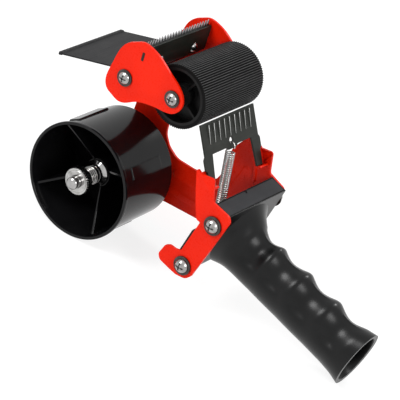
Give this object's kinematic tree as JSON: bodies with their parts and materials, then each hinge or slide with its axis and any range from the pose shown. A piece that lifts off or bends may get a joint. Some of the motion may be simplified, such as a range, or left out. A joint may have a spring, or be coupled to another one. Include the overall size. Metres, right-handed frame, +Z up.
{
  "type": "hand-held packing tape dispenser",
  "caption": "Pistol-grip tape gun: tape hub with a screw brake, ribbed roller, sprung tension plate, serrated blade and wiper flap on a red steel frame.",
  "frame": {"origin": "centre of the footprint of the whole tool's box, on the bench it stands on", "axes": "+Z up off the bench with the tool standing on the tape hub's rim and the lower edge of the handle's end; -X towards the flap, +X towards the handle's end; -Y is the open side that the tape roll goes on from"},
  "size_m": [0.245, 0.0782, 0.1506],
  "materials": {
    "red_paint": "gloss powder coat over sheet steel",
    "hub_plastic": "glossy black moulding",
    "core_plastic": "black moulding",
    "roller_rubber": "matt black ribbed rubber",
    "handle_plastic": "satin black moulding",
    "black_steel": "satin black coating over spring steel",
    "flap_plastic": "fine textured black sheet",
    "blade_steel": "ground and hardened",
    "chrome": "bright nickel plate",
    "zinc_steel": "bright zinc plate",
    "dark_steel": "blackened spring steel",
    "spring_steel": "bright drawn wire"
  },
  "bodies": {
    "frame": {"main_plate": "red_paint", "near_cheek": "red_paint", "head_plate": "red_paint", "handle": "handle_plastic", "blade_holder": "black_steel", "wiper_flap": "flap_plastic", "blade": "blade_steel", "spindle": "chrome", "brake_cup": "chrome", "brake_spring": "spring_steel", "tension_spring": "spring_steel", "spindle_nut": "zinc_steel", "spindle_washer": "zinc_steel", "roller_axle": "zinc_steel", "front_spacer": "zinc_steel", "head_screws": "zinc_steel", "head_washers": "dark_steel", "blade_screws": "zinc_steel", "blade_nuts": "zinc_steel", "flap_rivets": "zinc_steel", "spring_pin": "zinc_steel", "cheek_bolts": "zinc_steel", "cheek_washers": "dark_steel", "cheek_nuts": "zinc_steel"},
    "hub": {"tape_hub": "hub_plastic"},
    "roller": {"roller_core": "core_plastic", "roller_sleeve": "roller_rubber"},
    "tension": {"tension_plate": "black_steel"},
    "brake_washer": {"thrust_washer": "zinc_steel"},
    "brake_nut": {"thumb_nut": "chrome"}
  },
  "joints": [
    {"name": "hub_spin", "type": "hinge", "parent": "frame", "child": "hub", "pos_m": [-0.08489, 0.00013, 0.0376], "axis": [0, 1, 0], "continuous": true},
    {"name": "roller_spin", "type": "hinge", "parent": "frame", "child": "roller", "pos_m": [-0.03279, 0.00013, 0.1278], "axis": [0, 1, 0], "continuous": true},
    {"name": "tension_swing", "type": "hinge", "parent": "frame", "child": "tension", "pos_m": [0.00371, 0.00013, 0.0843], "axis": [0, 1, 0], "range_deg": [0, 14], "stiffness_Nm_per_rad": 0.25, "springref_deg": -14.32, "deforming": ["tension_spring"]},
    {"name": "washer_slide", "type": "slide", "parent": "frame", "child": "brake_washer", "axis": [0, 1, 0], "range_m": [-0.0025, 0.0025], "deforming": ["brake_spring"]},
    {"name": "nut_turn", "type": "hinge", "parent": "brake_washer", "child": "brake_nut", "pos_m": [-0.08489, -0.02617, 0.0376], "axis": [0, 1, 0], "range_deg": [-721, 721]}
  ],
  "couplings": [
    {"joint": "nut_turn", "follows": "washer_slide", "rad_per_m": 5026.5}
  ]
}
